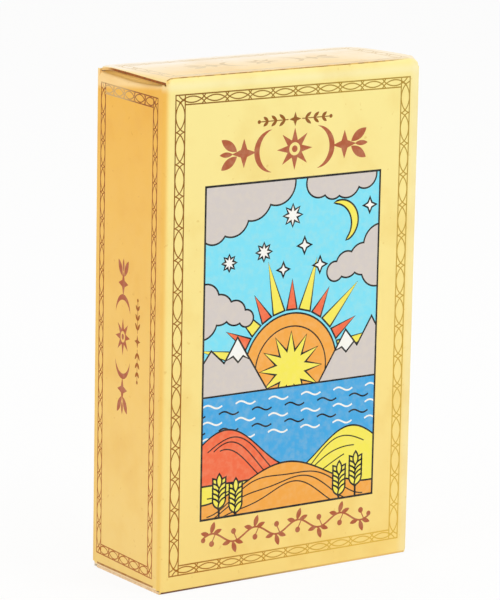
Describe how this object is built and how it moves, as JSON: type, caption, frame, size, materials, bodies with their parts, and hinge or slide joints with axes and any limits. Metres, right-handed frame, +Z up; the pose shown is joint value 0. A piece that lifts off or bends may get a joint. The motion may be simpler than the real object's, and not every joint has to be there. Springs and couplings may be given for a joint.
{
  "type": "tarot card deck",
  "caption": "Pack of tarot cards in an upright printed paperboard tuck box, with hinged lids, tuck tabs and dust flaps at the top and bottom ends.",
  "frame": {"origin": "middle of the carton's bottom, on the surface it stands on", "axes": "+Z up along the carton's height, the printed front faces -Y, +X to the right as seen from the front"},
  "size_m": [0.063, 0.0254, 0.105],
  "materials": {
    "printed_board": "satin litho print",
    "plain_board": "uncoated matt",
    "card_stock": "smooth coated"
  },
  "bodies": {
    "carton": {"front_panel": "printed_board", "back_panel": "printed_board", "left_side_panel": "printed_board", "right_side_panel": "printed_board", "corner_folds": "printed_board", "seam_flap": "plain_board"},
    "top_lid": {"top_lid": "printed_board"},
    "top_tuck_tab": {"top_tuck_tab": "printed_board"},
    "top_dust_flap_left": {"top_dust_flap_left": "plain_board"},
    "top_dust_flap_right": {"top_dust_flap_right": "plain_board"},
    "bottom_lid": {"bottom_lid": "printed_board"},
    "bottom_tuck_tab": {"bottom_tuck_tab": "printed_board"},
    "bottom_dust_flap_left": {"bottom_dust_flap_left": "plain_board"},
    "bottom_dust_flap_right": {"bottom_dust_flap_right": "plain_board"},
    "pack_of_cards": {"trump_00": "card_stock", "trump_01": "card_stock", "trump_02": "card_stock", "trump_03": "card_stock", "trump_04": "card_stock", "trump_05": "card_stock", "trump_06": "card_stock", "trump_07": "card_stock", "trump_08": "card_stock", "trump_09": "card_stock", "trump_10": "card_stock", "trump_11": "card_stock", "trump_12": "card_stock", "trump_13": "card_stock", "trump_14": "card_stock", "trump_15": "card_stock", "trump_16": "card_stock", "trump_17": "card_stock", "trump_18": "card_stock", "trump_19": "card_stock", "trump_20": "card_stock", "trump_21": "card_stock", "wands_ace_to_ten": "card_stock", "cups_ace_to_ten": "card_stock", "swords_ace_to_ten": "card_stock", "coins_ace_to_ten": "card_stock", "wands_page": "card_stock", "wands_knight": "card_stock", "wands_queen": "card_stock", "wands_king": "card_stock", "cups_page": "card_stock", "cups_knight": "card_stock", "cups_queen": "card_stock", "cups_king": "card_stock", "swords_page": "card_stock", "swords_knight": "card_stock", "swords_queen": "card_stock", "swords_king": "card_stock", "coins_page": "card_stock", "coins_knight": "card_stock", "coins_queen": "card_stock", "coins_king": "card_stock"}
  },
  "joints": [
    {"name": "top_lid_crease", "type": "hinge", "parent": "carton", "child": "top_lid", "pos_m": [0, -0.0125, 0.10475], "axis": [1, 0, 0], "range_deg": [0, 180]},
    {"name": "top_tab_crease", "type": "hinge", "parent": "top_lid", "child": "top_tuck_tab", "pos_m": [0, 0.0118, 0.10475], "axis": [1, 0, 0], "range_deg": [0, 27]},
    {"name": "top_left_flap_crease", "type": "hinge", "parent": "carton", "child": "top_dust_flap_left", "pos_m": [-0.03125, 0, 0.1042], "axis": [0, -1, 0], "range_deg": [0, 90]},
    {"name": "top_right_flap_crease", "type": "hinge", "parent": "carton", "child": "top_dust_flap_right", "pos_m": [0.03125, 0, 0.1042], "axis": [0, 1, 0], "range_deg": [0, 90]},
    {"name": "bottom_lid_crease", "type": "hinge", "parent": "carton", "child": "bottom_lid", "pos_m": [0, -0.0125, 0.00025], "axis": [-1, 0, 0], "range_deg": [0, 180]},
    {"name": "bottom_tab_crease", "type": "hinge", "parent": "bottom_lid", "child": "bottom_tuck_tab", "pos_m": [0, 0.0118, 0.00025], "axis": [-1, 0, 0], "range_deg": [0, 27]},
    {"name": "bottom_left_flap_crease", "type": "hinge", "parent": "carton", "child": "bottom_dust_flap_left", "pos_m": [-0.03125, 0, 0.0008], "axis": [0, 1, 0], "range_deg": [0, 90]},
    {"name": "bottom_right_flap_crease", "type": "hinge", "parent": "carton", "child": "bottom_dust_flap_right", "pos_m": [0.03125, 0, 0.0008], "axis": [0, -1, 0], "range_deg": [0, 90]},
    {"name": "pack_slide", "type": "slide", "parent": "carton", "child": "pack_of_cards", "axis": [0, 0, 1], "range_m": [0, 0.0015]}
  ],
  "couplings": [
    {"joint": "top_tab_crease", "follows": "top_lid_crease", "ratio": 0.15},
    {"joint": "top_left_flap_crease", "follows": "top_lid_crease", "ratio": 0.5},
    {"joint": "top_right_flap_crease", "follows": "top_lid_crease", "ratio": 0.5},
    {"joint": "bottom_tab_crease", "follows": "bottom_lid_crease", "ratio": 0.15},
    {"joint": "bottom_left_flap_crease", "follows": "bottom_lid_crease", "ratio": 0.5},
    {"joint": "bottom_right_flap_crease", "follows": "bottom_lid_crease", "ratio": 0.5}
  ]
}
